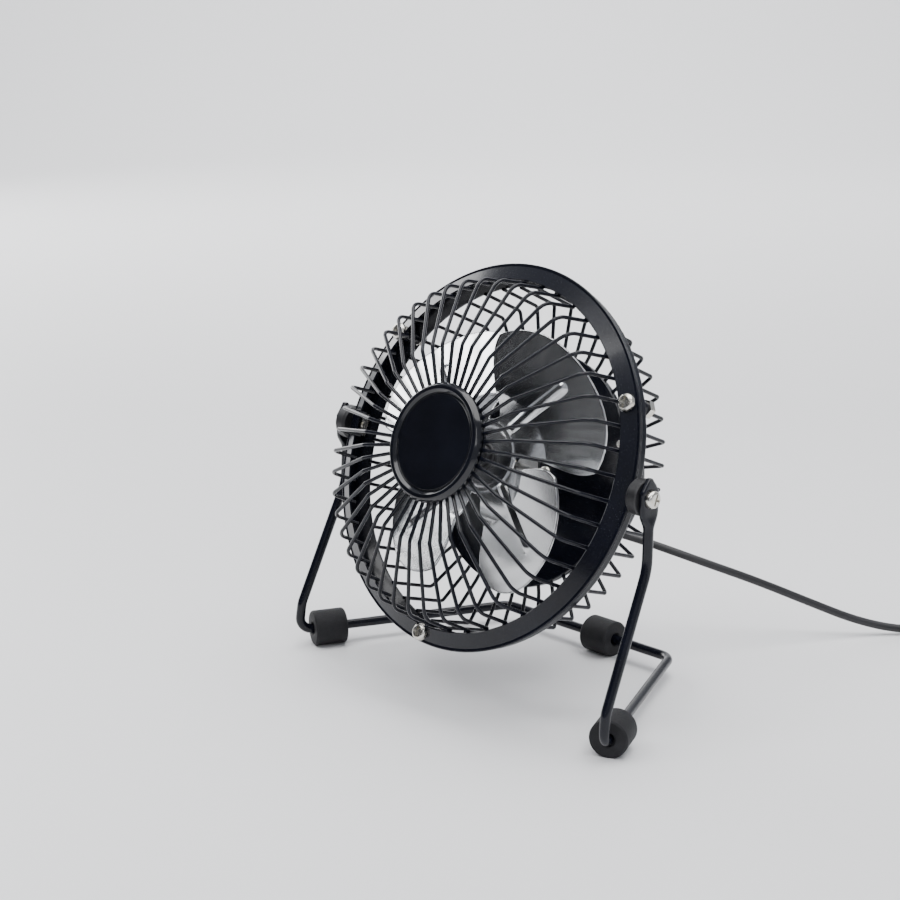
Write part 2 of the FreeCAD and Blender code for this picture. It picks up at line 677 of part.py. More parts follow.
def usb_cord_coil():
    """The outer shape of the wound-up lead."""
    inner = COIL_R - 1.5 * CORD_D
    outer = COIL_R + 1.5 * CORD_D
    height = COIL_LAYERS * CORD_D
    edge = CORD_D / 2
    coil = revolved([(inner, edge), (inner + edge, 0), (outer - edge, 0), (outer, edge),
                     (outer, height - edge), (outer - edge, height), (inner + edge, height),
                     (inner, height - edge)])
    return coil.translated(Vector(COIL_X, PIVOT_Y + COIL_Y, 0))


def tail_points():
    """From the top of the coil down to the plug."""
    off = around(COIL_R + CORD_D, COIL_END, (COIL_LAYERS - 0.5) * CORD_D)
    start = Vector(COIL_X, PIVOT_Y + COIL_Y, 0) + off
    route = [(124.1, 158.1, 9.9), (129.6, 151.2, 7.8), (133.8, 143.0, 5.2), (134.0, 134.0, 4.2)]
    return [start] + [Vector(x, PIVOT_Y + y, z) for x, y, z in route]


def usb_cord_tail():
    return free_cord("usb_cord_tail", tail_points())


def plug_placed(shape):
    """The plug is drawn along +Z from the lead's end, and lies on the table pointing to -Y."""
    spot = tail_points()[-1]
    spot.z = GRIP_H / 2
    return shape.rotated(Vector(0, 0, 0), Vector(1, 0, 0), 90).translated(spot)


def usb_plug_grip():
    """Moulded grip with a tapered neck."""
    neck = revolved([(0, 0), (2.1, 0), (3.0, 6.6), (0, 6.6)])
    grip = block((-GRIP_W / 2, -GRIP_H / 2, 6.5), (GRIP_W / 2, GRIP_H / 2, 6.5 + GRIP_L))
    upright = [edge for edge in grip.Edges if edge.BoundBox.ZLength > 1]
    grip = grip.makeFillet(2.2, upright)
    grip = joined(grip, neck)
    inside = block((-SHELL_W / 2, -SHELL_H / 2, 6.5 + GRIP_L - 5), (SHELL_W / 2, SHELL_H / 2, 100))
    return plug_placed(grip.cut(inside))


def usb_plug_shell():
    """Plated steel shell with two latch windows in each flat side."""
    low = 6.5 + GRIP_L - 5 + GAP
    high = 6.5 + GRIP_L + SHELL_L
    wall = 0.35
    half_w = SHELL_W / 2
    half_h = SHELL_H / 2
    shell = block((0.02 - half_w, 0.02 - half_h, low), (half_w - 0.02, half_h - 0.02, high))
    bore_w = half_w - wall
    bore_h = half_h - wall
    shell = shell.cut(block((-bore_w, -bore_h, low - 1), (bore_w, bore_h, high + 1)))
    for x in (-3.1, 3.1):
        shell = shell.cut(block((x - 1.1, -5, high - 7.5), (x + 1.1, 5, high - 5.3)))
    return plug_placed(shell)


def usb_plug_tongue():
    """Insulating tongue inside the shell."""
    low = 6.5 + GRIP_L - 5 + 2 * GAP
    high = 6.5 + GRIP_L + SHELL_L - 0.6
    wall = 0.37
    half_w = SHELL_W / 2 - wall
    half_h = SHELL_H / 2 - wall
    root = block((-half_w, -half_h, low), (half_w, half_h, low + 5))
    tongue = block((-half_w, -half_h, low), (half_w, -0.05, high))
    return plug_placed(joined(root, tongue))


def usb_plug_contacts():
    """Four contact strips on the tongue, the outer two longer."""
    start = 6.5 + GRIP_L + 0.3
    ends = {-3.5: 13.8, -1.0: 12.6, 1.0: 12.6, 3.5: 13.8}
    strips = [block((x - 0.55, -0.04, start), (x + 0.55, 0.2, 6.5 + GRIP_L + end))
              for x, end in ends.items()]
    return plug_placed(Part.makeCompound(strips))


# ---- all the pieces -----------------------------------------------------------------------------
HEAD_PIECES = [front_ring, rear_ring, front_guard_wires, rear_guard_wires, front_centre_plate, badge_cap,
               rear_centre_plate, ring_screws, ring_nuts, fan_blade, blade_bush, rotor_shaft, motor_can,
               motor_screws, front_bearing, motor_magnets, armature_core, armature_windings, commutator,
               motor_end_cap, rear_bearing, motor_brushes, motor_terminals, motor_housing, housing_screws,
               switch_body, switch_rocker, switch_terminals, lead_supply, lead_switched, lead_return,
               strain_relief]
STAND_PIECES = [stand_rod, rear_foot, usb_cord, usb_cord_coil, usb_cord_tail, usb_plug_grip,
                usb_plug_shell, usb_plug_tongue, usb_plug_contacts]
SIDES = {"right": 1, "left": -1}


def placed(shape):
    """Move a piece from the head's frame to the row's."""
    moved = shape.copy()
    moved.Placement = HEAD.multiply(moved.Placement)
    return moved


def pieces():
    """Every piece, by node name."""
    made = {make.__name__: placed(make()) for make in HEAD_PIECES}
    made.update({make.__name__: make() for make in STAND_PIECES})
    for word, side in SIDES.items():
        made["pivot_bush_" + word] = placed(pivot_bush(side))
        made["pivot_screw_" + word] = placed(pivot_screw(side))
        made["pivot_nut_" + word] = placed(pivot_nut(side))
        made["front_foot_" + word] = front_foot(side)
    return made


def main():
    os.makedirs("parts", exist_ok=True)
    for name, shape in pieces().items():
        if not shape.isValid():
            print("not valid:", name)
        shape.exportStep("parts/" + name + ".step")


main()
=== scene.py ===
"""Looks of a small metal desk fan with a USB lead, built round its packed parts. Metres, +Z up, the fan
blows towards -Y. Pieces of the head are made in the head's own frame, whose Z is the fan's axis."""
import json
import math

import bmesh
import bpy
from bpy.props import FloatProperty, FloatVectorProperty, IntProperty, PointerProperty
from mathutils import Matrix, Vector


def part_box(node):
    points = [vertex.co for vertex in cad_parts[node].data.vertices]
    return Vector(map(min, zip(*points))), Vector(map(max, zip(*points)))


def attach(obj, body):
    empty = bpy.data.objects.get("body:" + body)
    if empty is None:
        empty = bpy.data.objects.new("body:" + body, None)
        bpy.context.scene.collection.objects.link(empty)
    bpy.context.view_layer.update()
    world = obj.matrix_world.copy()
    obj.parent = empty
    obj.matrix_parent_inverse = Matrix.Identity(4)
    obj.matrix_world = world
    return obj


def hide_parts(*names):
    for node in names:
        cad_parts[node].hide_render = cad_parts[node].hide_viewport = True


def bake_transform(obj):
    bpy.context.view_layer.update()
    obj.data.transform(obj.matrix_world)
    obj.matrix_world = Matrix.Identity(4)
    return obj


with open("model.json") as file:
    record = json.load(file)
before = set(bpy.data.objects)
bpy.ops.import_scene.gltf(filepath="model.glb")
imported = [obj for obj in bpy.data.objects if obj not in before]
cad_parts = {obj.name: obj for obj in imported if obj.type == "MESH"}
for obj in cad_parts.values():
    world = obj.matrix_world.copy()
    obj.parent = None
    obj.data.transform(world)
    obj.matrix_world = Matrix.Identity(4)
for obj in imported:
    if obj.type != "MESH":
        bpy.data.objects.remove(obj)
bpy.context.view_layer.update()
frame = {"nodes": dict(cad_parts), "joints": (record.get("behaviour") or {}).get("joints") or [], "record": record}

bl_info = {
    "name": "Wire-guard desk fan",
    "version": (1, 0, 0),
    "blender": (4, 5, 0),
    "location": "3D View > Sidebar > Desk fan",
    "description": "Builds the visible pieces and materials of a small metal desk fan",
    "category": "Object",
}

MM = 0.001
JOINTS = {joint["name"]: joint for joint in frame["joints"]}
PIVOT = Vector(JOINTS["head_tilt"]["pos_m"])


def head_matrix():
    """The head's frame: X along the pivots, Z forward along the fan's axis."""
    forward = Vector(JOINTS["fan_spin"]["axis"]).normalized()
    side = Vector((1, 0, 0))
    up = forward.cross(side)
    turn = Matrix((side, up, forward)).transposed().to_4x4()
    return Matrix.Translation(PIVOT) @ turn


HEAD = head_matrix()

# The camera: angles in degrees, lengths in metres unless said.
CAMERA_YAW = 45.02            # round from straight ahead, towards +X
CAMERA_PITCH = 15.66
CAMERA_DISTANCE = 0.65
CAMERA_AIM_HEIGHT = 0.075
CAMERA_LENS = 76.8            # millimetres, on a sensor 36 mm wide
CAMERA_SHIFT = (-0.040, 0.0294)

# The lead's way out of the housing, in millimetres in the head's frame.
HOUSING_BACK = -52.0
SLEEVE_REACH = 12.0
SLEEVE_BORE = 1.52
EXIT_DROP = -14.0

# The lead's middle line on the stand's side, in millimetres from the floor below the pivots.
LEAD_OUT = [(3.0, 69.0, 39.6), (12.0, 76.0, 36.2), (24.5, 86.5, 30.5), (38.0, 102.5, 22.4),
            (51.0, 118.0, 13.5), (64.0, 132.0, 5.5), (76.0, 145.5, 1.5)]
LEAD_TAIL = [(124.1, 158.1, 9.9), (129.6, 151.2, 7.8), (133.8, 143.0, 5.2), (134.0, 134.0, 4.2)]

# The coil: its middle in metres, the angle where the lead comes in, and points to a turn.
COIL_X = 0.104
COIL_Y = 0.150
COIL_START = 148.0
COIL_TURN_POINTS = 14
COIL_CLIMB_POINTS = 6

# The plug's neck, in metres and as a share of the grip's length.
NECK_TIP = 0.0021
NECK_ROOT = 0.0031
NECK_SHARE = 0.2

# The blade's dished centre, as (radius, height) in millimetres from its hole outwards.
BLADE_DISH = [(3.42, 0.1), (5.0, 0.1), (9.2, 0.1), (10.2, -0.05), (11.2, -0.45), (12.1, -0.3)]

# A leg's flat end: heights above the pivots and lengths, in metres.
FLAT_TOP = 0.0066
FLAT_BOTTOM = -0.010
FLAT_BLEND = 0.0055
POINT_BOTTOM = 0.002
POINT_LENGTH = 0.0042


# ---- settings -----------------------------------------------------------------------------------
def length(name, description, millimetres):
    """A length setting, kept in metres."""
    return FloatProperty(name=name, description=description, default=millimetres * MM, min=0.0,
                         precision=5, unit="LENGTH", subtype="DISTANCE")


def colour(name, description, value):
    """A colour setting."""
    return FloatVectorProperty(name=name, description=description, default=value, size=3, min=0.0,
                               max=1.0, subtype="COLOR")


class FanGuardSettings(bpy.types.PropertyGroup):
    """Sizes of the wire guards and the cap."""
    wires: IntProperty(name="Wires", description="Wires in each guard", default=46, min=8)
    wire_radius: length("Wire radius", "Radius of a guard wire", 0.65)
    ring_inner: length("Ring opening", "Inner radius of the two rings", 60.2)
    first_wire: FloatProperty(name="First wire", description="Angle of the first wire of each guard",
                              default=math.radians(90.0), unit="ROTATION", subtype="ANGLE")
    kink_radius: length("Kink radius", "Where the front wires bend back", 33.6)
    kink_height: length("Kink height", "How far forward that bend stands", 24.9)
    shoulder_radius: length("Shoulder radius", "Corner of the front wires' outer bend", 57.6)
    shoulder_height: length("Shoulder height", "How far forward that corner stands", 16.6)
    shoulder_bend: length("Shoulder bend", "Rounding of the front wires' outer bend", 5.5)
    rear_radius: length("Rear bend radius", "Corner of the rear wires' sharp bend", 58.0)
    rear_depth: length("Rear bend depth", "How far back that corner stands", 22.2)
    plate_radius: length("Rear plate radius", "Radius of the rear centre plate", 41.5)
    plate_depth: length("Rear plate depth", "How far back the rear plate's back face is", 23.7)
    cap_radius: length("Cap radius", "Outside radius of the front cap", 20.2)
    cap_back: length("Cap back", "How far forward the cap's back face stands", 24.4)
    cap_height: length("Cap height", "Thickness of the cap's rim", 2.7)
    cap_disc: length("Cap disc radius", "Radius of the cap's sunk disc", 16.8)


class FanBladeSettings(bpy.types.PropertyGroup):
    """Sizes of the blade."""
    petals: IntProperty(name="Petals", description="Petals on the blade", default=4, min=2)
    sweep: length("Sweep radius", "Radius that the petals' tips sweep", 48.0)
    root: length("Root radius", "Radius of the blade's flat centre", 13.0)
    sheet: length("Sheet", "Thickness of the aluminium sheet", 1.0)
    pitch: FloatProperty(name="Pitch", description="Pitch of a petal beyond its root",
                         default=math.radians(20.0), unit="ROTATION", subtype="ANGLE")
    first_petal: FloatProperty(name="First petal", description="Angle of the first petal's middle",
                               default=math.radians(47.0), unit="ROTATION", subtype="ANGLE")
    rib_width: length("Rib width", "Width of a petal's pressed rib", 3.8)
    rib_height: length("Rib height", "Height of a petal's pressed rib", 1.1)


class FanStandSettings(bpy.types.PropertyGroup):
    """Sizes of the stand and its feet."""
    rod_radius: length("Rod radius", "Radius of the stand's rod", 1.7)
    leg_x: length("Leg distance", "How far each leg's flat end stands from the middle", 72.0)
    flat_thickness: length("Flat thickness", "Thickness of a leg's flat end", 1.8)
    flat_width: length("Flat width", "Width of a leg's flat end", 7.8)
    front_x: length("Front bend", "How far the front bends stand from the middle", 74.5)
    front_y: length("Front reach", "How far the front bends stand ahead of the pivots", 22.5)
    back_x: length("Rear bend", "How far the rear bends stand from the middle", 39.7)
    back_y: length("Rear reach", "How far the rear bends stand behind the pivots", 52.0)
    rod_height: length("Rod height", "Height of the base's rod above the table", 6.25)
    foot_radius: length("Foot radius", "Radius of a rubber foot", 6.5)
    foot_length: length("Foot length", "Length of a rubber foot", 12.0)


class FanLeadSettings(bpy.types.PropertyGroup):
    """Sizes of the lead and its coil."""
    diameter: length("Diameter", "Diameter of the lead", 3.0)
    real_length: length("Length", "Length of the whole lead", 1170.0)
    coil_radius: length("Coil radius", "Radius at the middle of the coil's turns", 17.0)
    coil_layers: IntProperty(name="Layers", description="Layers of turns in the coil", default=4, min=1)


class FanFinishSettings(bpy.types.PropertyGroup):
    """Colours of the finishes."""
    paint: colour("Paint", "Black gloss paint of the metalwork", (0.0030, 0.0037, 0.0075))
    cap: colour("Cap", "Black of the front cap", (0.003, 0.0035, 0.006))
    aluminium: colour("Aluminium", "Metal of the blade", (0.80, 0.81, 0.82))
    zinc: colour("Zinc", "Plating of the screws", (0.70, 0.69, 0.65))
    rubber: colour("Rubber", "Rubber of the feet and bushes", (0.011, 0.011, 0.013))
    sheath: colour("Sheath", "Sheath of the lead", (0.010, 0.010, 0.012))
    steel: colour("Steel", "Bright steel inside the housing", (0.62, 0.62, 0.61))
    copper: colour("Copper", "Enamelled copper wire", (0.62, 0.25, 0.10))
    brass: colour("Brass", "Turned brass", (0.70, 0.52, 0.24))
    nylon: colour("Nylon", "Natural nylon mouldings", (0.68, 0.66, 0.60))
    floor: colour("Floor", "Pale table", (0.80, 0.80, 0.81))


SETTINGS = {
    "fan_guard": FanGuardSettings,
    "fan_blade_sizes": FanBladeSettings,
    "fan_stand": FanStandSettings,
    "fan_lead": FanLeadSettings,
    "fan_finish": FanFinishSettings,
}


# ---- shader expressions -------------------------------------------------------------------------
class Value:
    """A shader socket that takes part in Python expressions."""

    def __init__(self, tree, socket):
        self.tree = tree
        self.socket = socket

    def maths(self, operation, *others):
        node = self.tree.add("ShaderNodeMath", {"operation": operation}, {})
        for number, item in enumerate((self, *others)):
            self.tree.feed(node.inputs[number], item)
        return Value(self.tree, node.outputs[0])

    def __add__(self, other):
        return self.maths("ADD", other)

    def __mul__(self, other):
        return self.maths("MULTIPLY", other)

    __radd__ = __add__
    __rmul__ = __mul__

    def above(self, low, high):
        """0 below low, 1 above high and a smooth step between."""
        settings = {"interpolation_type": "SMOOTHSTEP"}
        values = {"Value": self, "From Min": low, "From Max": high}
        return Value(self.tree, self.tree.add("ShaderNodeMapRange", settings, values).outputs["Result"])


class Finish:
    """A material and the nodes that make it."""

    def __init__(self, name, **constants):
        self.material = bpy.data.materials.new(name)
        self.material.use_nodes = True
        self.nodes = self.material.node_tree.nodes
        self.links = self.material.node_tree.links
        self.shader = self.nodes["Principled BSDF"]
        for socket, value in constants.items():
            self.feed(self.shader.inputs[socket.replace("_", " ")], value)

    def feed(self, socket, value):
        if isinstance(value, Value):
            self.links.new(value.socket, socket)
        elif isinstance(value, tuple):
            numbers = list(value)
            socket.default_value = numbers + [1.0] if len(numbers) < len(socket.default_value) else numbers
        else:
            socket.default_value = value

    def add(self, kind, settings, values):
        """A node of this kind, with its settings set first and then its sockets."""
        node = self.nodes.new(kind)
        for key, value in settings.items():
            setattr(node, key, value)
        for key, value in values.items():
            self.feed(node.inputs[key], value)
        return node

    def place(self):
        """Where a point lies on the piece, in metres."""
        return Value(self, self.add("ShaderNodeTexCoord", {}, {}).outputs["Object"])

    def stretched(self, scale):
        """The same, stretched along its axes."""
        values = {"Vector": self.place(), "Scale": scale}
        return Value(self, self.add("ShaderNodeMapping", {}, values).outputs[0])

    def noise(self, scale, detail=3.0, roughness=0.55, where=None):
        values = {"Vector": where or self.place(), "Scale": scale, "Detail": detail, "Roughness": roughness}
        return Value(self, self.add("ShaderNodeTexNoise", {}, values).outputs["Fac"])

    def grains(self, scale):
        values = {"Vector": self.place(), "Scale": scale}
        return Value(self, self.add("ShaderNodeTexVoronoi", {}, values).outputs["Distance"])

    def mixed(self, share, first, second):
        node = self.add("ShaderNodeMix", {"data_type": "RGBA"}, {})
        self.feed(node.inputs["Factor"], share)
        for number, value in ((6, first), (7, second)):
            self.feed(node.inputs[number], value)
        return Value(self, node.outputs[2])

    def paint(self, base, roughness, height=None, depth=0.0):
        """Feeds the shader's colour and roughness, and a bump of this depth in metres."""
        self.feed(self.shader.inputs["Base Color"], base)
        self.feed(self.shader.inputs["Roughness"], roughness)
        if height is not None:
            bump = self.add("ShaderNodeBump", {}, {"Height": height, "Distance": depth, "Strength": 1.0})
            self.links.new(bump.outputs[0], self.shader.inputs["Normal"])
        return self.material


def shade(base, factor, lift=0.0):
    """A darker or lighter version of a colour."""
    return tuple(min(1.0, channel * factor + lift) for channel in base)


# ---- finishes -----------------------------------------------------------------------------------
def gloss_paint(finish):
    """Sprayed gloss paint: orange peel, slow changes of gloss and a little dust."""
    made = Finish("Black gloss paint", Specular_IOR_Level=0.25, Coat_Weight=0.15, Coat_Roughness=0.08)
    peel = made.noise(900.0, 2.0)
    cloud = made.noise(45.0, 3.0)
    specks = made.noise(2600.0, 1.0).above(0.66, 0.74)
    base = made.mixed(cloud.above(0.35, 0.75), tuple(finish.paint), shade(finish.paint, 1.5))
    base = made.mixed(specks * 0.12, base, shade(finish.paint, 1.0, 0.05))
    return made.paint(base, cloud * 0.08 + specks * 0.1 + 0.17, peel, 0.00002)


def moulded_cap(finish):
    """Polished black moulding with faint flow marks and hairline scratches."""
    made = Finish("Polished black moulding", Specular_IOR_Level=0.4, Coat_Weight=0.2, Coat_Roughness=0.03)
    flow = made.noise(70.0, 2.0)
    hair = made.noise(240.0, 2.0, where=made.stretched((1.0, 9.0, 1.0))).above(0.62, 0.70)
    base = made.mixed(flow.above(0.3, 0.8), tuple(finish.cap), shade(finish.cap, 1.9))
    return made.paint(base, flow * 0.05 + hair * 0.06 + 0.10, flow, 0.00001)


def blade_sheet(finish):
    """Rolled aluminium sheet: fine rolling lines, cloudy oxide and small handling marks."""
    made = Finish("Rolled aluminium", Metallic=1.0)
    lines = made.noise(420.0, 3.0, where=made.stretched((1.0, 14.0, 1.0)))
    cloud = made.noise(60.0, 4.0)
    marks = made.noise(700.0, 1.0).above(0.68, 0.75)
    base = made.mixed(cloud.above(0.35, 0.7), shade(finish.aluminium, 0.86), tuple(finish.aluminium))
    base = made.mixed(marks * 0.5, base, shade(finish.aluminium, 0.6))
    return made.paint(base, lines * 0.10 + cloud * 0.08 + 0.12, lines, 0.00001)


def plated(name, base, warm):
    """Plated steel: slight yellowing in patches and fine rolling scratches."""
    made = Finish(name, Metallic=1.0)
    cloud = made.noise(500.0, 3.0)
    fine = made.noise(3200.0, 2.0)
    tint = made.mixed(cloud.above(0.35, 0.9) * 0.6, tuple(base), warm)
    return made.paint(tint, cloud * 0.10 + fine * 0.06 + 0.18, fine, 0.000004)


def rubber(name, base, grain_scale, depth):
    """Matt rubber: a fine grain, paler bloom in patches and dust."""
    made = Finish(name, Specular_IOR_Level=0.3)
    grain = made.grains(grain_scale)
    bloom = made.noise(160.0, 4.0)
    tint = made.mixed(bloom.above(0.42, 0.8), tuple(base), shade(base, 1.5, 0.003))
    return made.paint(tint, bloom * 0.15 + grain * 0.12 + 0.52, grain + bloom * 0.6, depth)


def lead_sheath(finish):
    """Extruded sheath: satin, with faint long lines and a little bloom."""
    made = Finish("Extruded sheath", Metallic=0.0)
    ripple = made.noise(700.0, 2.0)
    bloom = made.noise(90.0, 3.0)
    tint = made.mixed(bloom.above(0.4, 0.8), tuple(finish.sheath), shade(finish.sheath, 1.8))
    return made.paint(tint, bloom * 0.14 + ripple * 0.06 + 0.34, ripple, 0.00003)


def moulding(name, base, gloss):
    """Plain moulded plastic with a spark-eroded grain."""
    made = Finish(name, Metallic=0.0)
    grain = made.noise(1800.0, 2.0)
    cloud = made.noise(120.0, 2.0)
    tint = made.mixed(cloud.above(0.35, 0.75), tuple(base), shade(base, 0.82))
    return made.paint(tint, grain * 0.12 + gloss, grain, 0.00003)


def worked_metal(name, base, roughness, line_scale):
    """Drawn, turned or stacked metal with fine lines across it."""
    made = Finish(name, Metallic=1.0)
    lines = made.noise(line_scale, 2.0, where=made.stretched((1.0, 1.0, 8.0)))
    cloud = made.noise(200.0, 3.0)
    tint = made.mixed(cloud.above(0.4, 0.7), tuple(base), shade(base, 0.75))
    return made.paint(tint, lines * 0.2 + roughness, lines, 0.00002)


def table_top(finish):
    """Pale table: nearly even, with a faint mottle."""
    made = Finish("Pale table", Metallic=0.0)
    cloud = made.noise(6.0, 3.0)
    base = made.mixed(cloud, tuple(finish.floor), shade(finish.floor, 0.985))
    return made.paint(base, cloud * 0.05 + 0.5)


def make_finishes(finish):
    """Every finish, by the record's slot."""
    dark = (0.012, 0.012, 0.014)
    return {
        "black_paint": gloss_paint(finish),
        "cap_gloss": moulded_cap(finish),
        "blade_aluminium": blade_sheet(finish),
        "zinc_screw": plated("Zinc plating", finish.zinc, (0.66, 0.58, 0.42)),
        "brass": worked_metal("Turned brass", finish.brass, 0.22, 900.0),
        "foot_rubber": rubber("Foot rubber", finish.rubber, 2600.0, 0.00008),
        "cord_rubber": lead_sheath(finish),
        "bush_plastic": moulding("Black moulding", dark, 0.36),
        "motor_steel": worked_metal("Drawn steel", finish.steel, 0.20, 1200.0),
        "magnet": moulding("Ferrite", (0.05, 0.05, 0.055), 0.5),
        "lamination": worked_metal("Laminations", (0.30, 0.30, 0.31), 0.34, 2400.0),
        "copper": worked_metal("Enamelled copper", finish.copper, 0.24, 2000.0),
        "motor_plastic": moulding("Nylon", finish.nylon, 0.4),
        "lead_red": moulding("Red lead", (0.42, 0.015, 0.012), 0.32),
        "lead_black": moulding("Black lead", dark, 0.32),
        "plug_shell": plated("Nickel plating", finish.steel, (0.60, 0.57, 0.50)),
        "plug_tongue": moulding("White insulator", (0.78, 0.78, 0.76), 0.35),
        "gold": worked_metal("Gold plating", (0.78, 0.55, 0.20), 0.16, 900.0),
    }


def finish_for(slot):
    """The finish kept for a slot of the record."""
    return bpy.data.materials[bpy.context.scene["finish_" + slot]]


# ---- mesh helpers -------------------------------------------------------------------------------
def new_piece(name, verts, faces, slot, replaced, body, matrix=None, sharp=35.0):
    """A mesh piece that rides on a body and stands for these CAD nodes."""
    mesh = bpy.data.meshes.new(name)
    mesh.from_pydata(verts, [], faces)
    if matrix is not None:
        mesh.transform(matrix)
    tidy = bmesh.new()
    tidy.from_mesh(mesh)
    bmesh.ops.remove_doubles(tidy, verts=tidy.verts, dist=1e-7)
    bmesh.ops.recalc_face_normals(tidy, faces=tidy.faces)
    tidy.to_mesh(mesh)
    tidy.free()
    piece = bpy.data.objects.new(name, mesh)
    bpy.context.scene.collection.objects.link(piece)
    smooth(piece, sharp)
    piece.data.materials.append(finish_for(slot))
    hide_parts(*replaced)
    if body:
        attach(piece, body)
    return piece


def smooth(piece, angle):
    """Smooth faces with sharp edges where they turn by more than this angle."""
    piece.data.polygons.foreach_set("use_smooth", [True] * len(piece.data.polygons))
    piece.data.set_sharp_from_angle(angle=math.radians(angle))


def arc_points(before, corner, after, radius, steps):
    """The arc that rounds a corner of a line."""
    back = (before - corner).normalized()
    on = (after - corner).normalized()
    half = (math.pi - back.angle(on)) / 2
    if radius <= 0 or half < 0.01:
        return [corner]
    reach = min(radius * math.tan(half), 0.49 * (before - corner).length, 0.49 * (after - corner).length)
    radius = reach / math.tan(half)
    middle = corner + (back + on).normalized() * (radius / math.cos(half))
    start = corner + back * reach - middle
    end = corner + on * reach - middle
    turn = start.rotation_difference(end)
    axis, angle = turn.to_axis_angle()
    return [middle + Matrix.Rotation(angle * n / steps, 3, axis) @ start for n in range(steps + 1)]


def bent_line(points, radii, steps=8):
    """A line of straight runs with rounded corners, for bent wire and rod."""
    line = [points[0]]
    for before, corner, after, radius in zip(points, points[1:], points[2:], radii):
        line += arc_points(before, corner, after, radius, steps)
    return line + [points[-1]]


def rounded_outline(corners, steps=4):
    """A closed outline in the (radius, height) plane. Each corner is (r, z, rounding), in millimetres."""
    spots = [Vector((r, z, 0)) * MM for r, z, _ in corners]
    outline = []
    for number, (_, _, rounding) in enumerate(corners):
        before = spots[number - 1]
        after = spots[(number + 1) % len(spots)]
        outline += arc_points(before, spots[number], after, rounding * MM, steps)
    return [(point.x, point.y) for point in outline]


def lathed(outline, segments):
    """Vertices and faces of a closed outline turned about Z."""
    count = len(outline)
    verts = []
    for turn in range(segments):
        angle = math.tau * turn / segments
        verts += [(r * math.cos(angle), r * math.sin(angle), z) for r, z in outline]
    faces = []
    for turn in range(segments):
        here = turn * count
        there = (turn + 1) % segments * count
        for n in range(count):
            m = (n + 1) % count
            faces.append((here + n, here + m, there + m, there + n))
    return verts, faces


def ring_faces(rings, around):
    """Faces that join each ring of points to the next."""
    faces = []
    for ring in range(rings - 1):
        here = ring * around
        for n in range(around):
            m = (n + 1) % around
            faces.append((here + n, here + m, here + around + m, here + around + n))
    return faces


def framed(line, first_side):
    """Tangent and side directions along a line, carried along it with no twist."""
    side = first_side
    frames = []
    for number, point in enumerate(line):
        ahead = line[min(number + 1, len(line) - 1)]
        behind = line[max(number - 1, 0)]
        along = (ahead - behind).normalized()
        side = (side - along * side.dot(along)).normalized()
        frames.append((point, side, along.cross(side)))
    return frames


def tubed(line, first_side, section, around, capped=True):
    """Vertices and faces of a section swept along a line. section(number) lists (side, up) offsets."""
    verts = []
    for number, (point, side, up) in enumerate(framed(line, first_side)):
        verts += [point + side * a + up * b for a, b in section(number)]
    faces = ring_faces(len(line), around)
    if capped:
        faces.append(tuple(range(around)))
        faces.append(tuple(range(len(verts) - around, len(verts))))
    return verts, faces


def circle(radius, around):
    """Offsets round a circle."""
    return [(radius * math.cos(math.tau * n / around), radius * math.sin(math.tau * n / around))
            for n in range(around)]


def squared_circle(half_wide, half_tall, power, around):
    """Offsets round an ellipse that squares up as the power grows past 2."""
    offsets = []
    for n in range(around):
        angle = math.tau * n / around
        c, s = math.cos(angle), math.sin(angle)
        stretch = (abs(c) ** power + abs(s) ** power) ** (-1 / power)
        offsets.append((half_wide * c * stretch, half_tall * s * stretch))
    return offsets


def polar(radius, angle, height):
    """A point at this radius and angle about Z."""
    return Vector((radius * math.cos(angle), radius * math.sin(angle), height))


